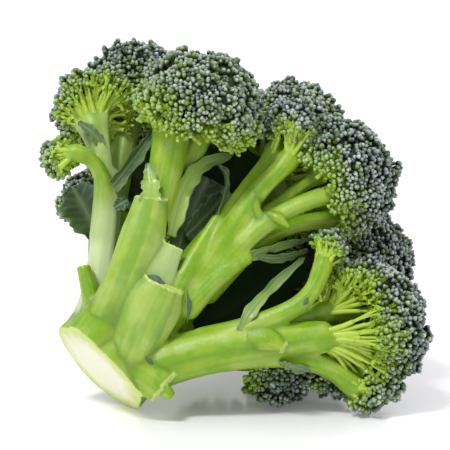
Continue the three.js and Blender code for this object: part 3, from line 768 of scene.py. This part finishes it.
# ---------------------------------------------------------------- materials
class Nodes:
    """Small helper to write one material's node tree."""

    def __init__(self, name, roughness, **sockets):
        self.material = bpy.data.materials.new(name)
        self.material.use_nodes = True
        self.tree = self.material.node_tree
        self.shader = self.tree.nodes["Principled BSDF"]
        self.shader.inputs["Roughness"].default_value = roughness
        for key, value in sockets.items():
            self.shader.inputs[key.replace("_", " ")].default_value = value

    def add(self, kind, **inputs):
        node = self.tree.nodes.new(kind)
        for key, value in inputs.items():
            self.put(node.inputs[key.replace("_", " ")], value)
        return node

    def put(self, socket, value):
        if isinstance(value, bpy.types.NodeSocket):
            self.tree.links.new(value, socket)
        else:
            socket.default_value = value

    def attribute(self, name):
        node = self.tree.nodes.new("ShaderNodeAttribute")
        node.attribute_name = name
        return node.outputs["Fac"]

    def math(self, operation, a, b=0.0, clamp=False):
        node = self.tree.nodes.new("ShaderNodeMath")
        node.operation, node.use_clamp = operation, clamp
        self.put(node.inputs[0], a)
        self.put(node.inputs[1], b)
        return node.outputs[0]

    def mix(self, share, a, b):
        node = self.tree.nodes.new("ShaderNodeMix")
        node.data_type = "RGBA"
        self.put(node.inputs[0], share)
        self.put(node.inputs[6], a)
        self.put(node.inputs[7], b)
        return node.outputs[2]

    def noise(self, size_mm, detail=3.0):
        place = self.tree.nodes.new("ShaderNodeTexCoord").outputs["Object"]
        node = self.add("ShaderNodeTexNoise", Vector=place, Scale=1000 / size_mm, Detail=detail)
        return node.outputs["Fac"]

    def ramp(self, value, *stops):
        node = self.add("ShaderNodeValToRGB", Fac=value)
        elements = node.color_ramp.elements
        while len(elements) < len(stops):
            elements.new(.5)
        for element, (place, grey) in zip(elements, stops):
            element.position, element.color = place, (grey, grey, grey, 1)
        return node.outputs["Color"]

    def bump(self, height, strength, distance_mm):
        node = self.add("ShaderNodeBump", Height=height, Strength=strength, Distance=distance_mm / 1000)
        self.tree.links.new(node.outputs["Normal"], self.shader.inputs["Normal"])


def colour(r, g, b):
    return (r, g, b, 1.0)


def stalk_material():
    m = Nodes("stalk_skin", .42, Specular_IOR_Level=.42, Subsurface_Weight=.06, Subsurface_Scale=.003)
    m.shader.inputs["Subsurface Radius"].default_value = (.6, 1.0, .25)
    streak, fine = m.attribute("streak"), m.noise(1.1, 3)
    patches = m.noise(8, 3)
    blotches = m.math("ADD", m.math("MULTIPLY", streak, .62), m.math("MULTIPLY", patches, 1.1))
    green = m.ramp(blotches, (.62, 0), (1.08, 1))
    skin = m.mix(green, colour(.285, .41, .016), colour(.155, .32, .002))
    wax = m.ramp(m.math("MULTIPLY", m.noise(6, 4), m.math("SUBTRACT", 1.25, m.math("MULTIPLY", streak, .6))),
                 (.42, 0), (.66, 1))
    skin = m.mix(m.math("MULTIPLY", wax, .42), skin, colour(.40, .52, .14))
    skin = m.mix(m.math("MULTIPLY", fine, .3), skin, colour(.20, .37, .015))
    skin = m.mix(m.math("MULTIPLY", m.attribute("pale"), .8), skin, colour(.58, .66, .40))
    # painted shade: darker green in the creases between branches
    skin = m.mix(m.math("MULTIPLY", m.attribute("crease"), .6), skin, colour(.085, .18, .006))
    reach = m.math("ADD", m.attribute("from_centre"),
                   m.math("MULTIPLY", m.math("SUBTRACT", m.noise(5, 3), .5), .45))
    flesh = m.mix(m.ramp(reach, (.60, 0), (.95, 1)), colour(.87, .85, .68), colour(.56, .67, .16))
    flesh = m.mix(m.math("MULTIPLY", fine, .25), flesh, colour(.55, .62, .25))
    base = m.mix(m.attribute("cut"), skin, flesh)
    m.put(m.shader.inputs["Base Color"], base)
    relief = m.math("ADD", m.math("MULTIPLY", streak, .9),
                    m.math("ADD", m.math("MULTIPLY", fine, .6), m.noise(3.5, 2)))
    m.bump(relief, .4, .3)
    return m.material


def dried_material():
    m = Nodes("dried_leaf_edge", .6)
    m.put(m.shader.inputs["Base Color"], m.mix(m.noise(1.5, 2), colour(.03, .07, .05), colour(.10, .16, .11)))
    return m.material


def bud_material():
    m = Nodes("bud_skin", .38, Specular_IOR_Level=.55)
    height, tone, yellow = m.attribute("bud_height"), m.attribute("tone"), m.attribute("yellow")
    # painted highlight: the pale grey-blue tips are partly the buds' own waxy bloom and partly painted
    # highlight
    tip = m.mix(tone, colour(.055, .092, .075), colour(.50, .57, .58))
    tip = m.mix(m.math("MULTIPLY", yellow, .66), tip, colour(.34, .51, .03))
    # painted shade: the lower part of each bud is near-black green, the shade between crowded buds; where
    # yellow is high it is the buds' own yellow-green
    low = m.mix(yellow, colour(.008, .026, .003), colour(.25, .42, .005))
    base = m.mix(m.ramp(height, (.40, 0), (.92, 1)), low, tip)
    m.put(m.shader.inputs["Base Color"], base)
    m.bump(m.noise(.5, 2), .8, .35)
    return m.material


def inside_shade_material():
    m = Nodes("floret_inside_shade", .8)
    # painted shade: near-black green stands for the shade under the buds, a little yellower where yellow is
    # high
    base = m.mix(m.attribute("yellow"), colour(.010, .024, .006), colour(.035, .08, .006))
    m.put(m.shader.inputs["Base Color"], m.mix(m.noise(2.5, 2), base, colour(.02, .045, .008)))
    return m.material


def twig_material():
    m = Nodes("floret_twigs", .4)
    m.put(m.shader.inputs["Base Color"], m.mix(m.noise(4, 2), colour(.26, .44, .012), colour(.50, .62, .09)))
    return m.material


def leaf_material():
    m = Nodes("leaf_blade", .42, Specular_IOR_Level=.5)
    blade = m.mix(m.noise(7, 3), colour(.018, .045, .024), colour(.045, .10, .045))
    foot = m.attribute("foot")
    blade = m.mix(m.math("MAXIMUM", foot, 0), blade, colour(.28, .44, .05))
    base = m.mix(m.attribute("rib"), blade, colour(.20, .30, .14))
    base = m.mix(m.math("MULTIPLY", m.attribute("rim"), .6), base, colour(.17, .28, .12))
    # painted shade: a blade whose foot is below 0 goes near-black green, with little specular
    base = m.mix(m.math("MULTIPLY", foot, -.9, clamp=True), base, colour(.006, .020, .003))
    m.put(m.shader.inputs["Specular IOR Level"], m.math("ADD", m.math("MULTIPLY", foot, .45), .5, clamp=True))
    m.put(m.shader.inputs["Base Color"], base)
    m.bump(m.noise(1.5, 3), .3, .2)
    return m.material


# ---------------------------------------------------------------- the head
domes = [Dome(name, 100 + i) for i, name in enumerate(FLORETS)]
limbs = all_limbs()
add_fans(limbs, domes)

stalk = make_stalk(limbs, [stalk_material(), dried_material()])
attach(stalk, "root")
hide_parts("stem", *[f"branch_{n}" for n in LIMBS if n != "trunk"],
            *[f"leaf_stalk_{n}" for n in STALK_STUBS])

floret_materials = [bud_material(), inside_shade_material(), twig_material()]
for dome in domes:
    floret = make_floret(dome, domes, floret_materials)
    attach(floret, "root")
    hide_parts("floret_" + dome.name)

blade = leaf_material()
for name in LEAVES:
    leaf = make_leaf(name, blade)
    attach(leaf, "root")
    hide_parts("leaf_" + name)


# ---------------------------------------------------------------- surface, light and camera
FLOOR_HALF = 6.0
TARGET = np.array([-.0037, -.0061, .0595])
CAMERA_DISTANCE = .70
CAMERA_ELEVATION = math.radians(9)
SENSOR, VIEW_WIDTH = 36.0, .162


def make_floor():
    bpy.ops.mesh.primitive_plane_add(size=2 * FLOOR_HALF)
    floor = bpy.context.active_object
    floor.name = "floor"
    m = Nodes("white_gloss", .12, Specular_IOR_Level=.5)
    m.shader.inputs["Base Color"].default_value = colour(.925, .915, .955)
    m.shader.inputs["Emission Color"].default_value = colour(1, 1, 1)
    m.shader.inputs["Emission Strength"].default_value = .09
    floor.data.materials.append(m.material)


def add_sun(name, place, softness, strength):
    light = bpy.data.lights.new(name, "SUN")
    light.angle, light.energy = math.radians(softness), strength
    lamp = bpy.data.objects.new(name, light)
    bpy.context.scene.collection.objects.link(lamp)
    lamp.rotation_euler = (-Vector(place)).to_track_quat("-Z", "Y").to_euler()


def make_lights():
    world = bpy.data.worlds.new("studio")
    bpy.context.scene.world = world
    world.use_nodes = True
    world.node_tree.nodes["Background"].inputs["Color"].default_value = colour(1, 1, 1)
    world.node_tree.nodes["Background"].inputs["Strength"].default_value = .78
    add_sun("key", (-.45, -.62, 1.2), 12, 2.1)
    add_sun("back", (.7, .6, .9), 35, .85)


def make_camera():
    camera = bpy.data.objects.new("camera", bpy.data.cameras.new("camera"))
    bpy.context.scene.collection.objects.link(camera)
    camera.data.sensor_width = SENSOR
    camera.data.lens = SENSOR * CAMERA_DISTANCE / VIEW_WIDTH
    back = np.array([0, -math.cos(CAMERA_ELEVATION), math.sin(CAMERA_ELEVATION)])
    camera.location = TARGET + back * CAMERA_DISTANCE
    camera.rotation_euler = (math.pi / 2 - CAMERA_ELEVATION, 0, 0)
    bpy.context.scene.camera = camera


make_floor()
make_lights()
make_camera()
bpy.context.scene.view_settings.view_transform = "Standard"
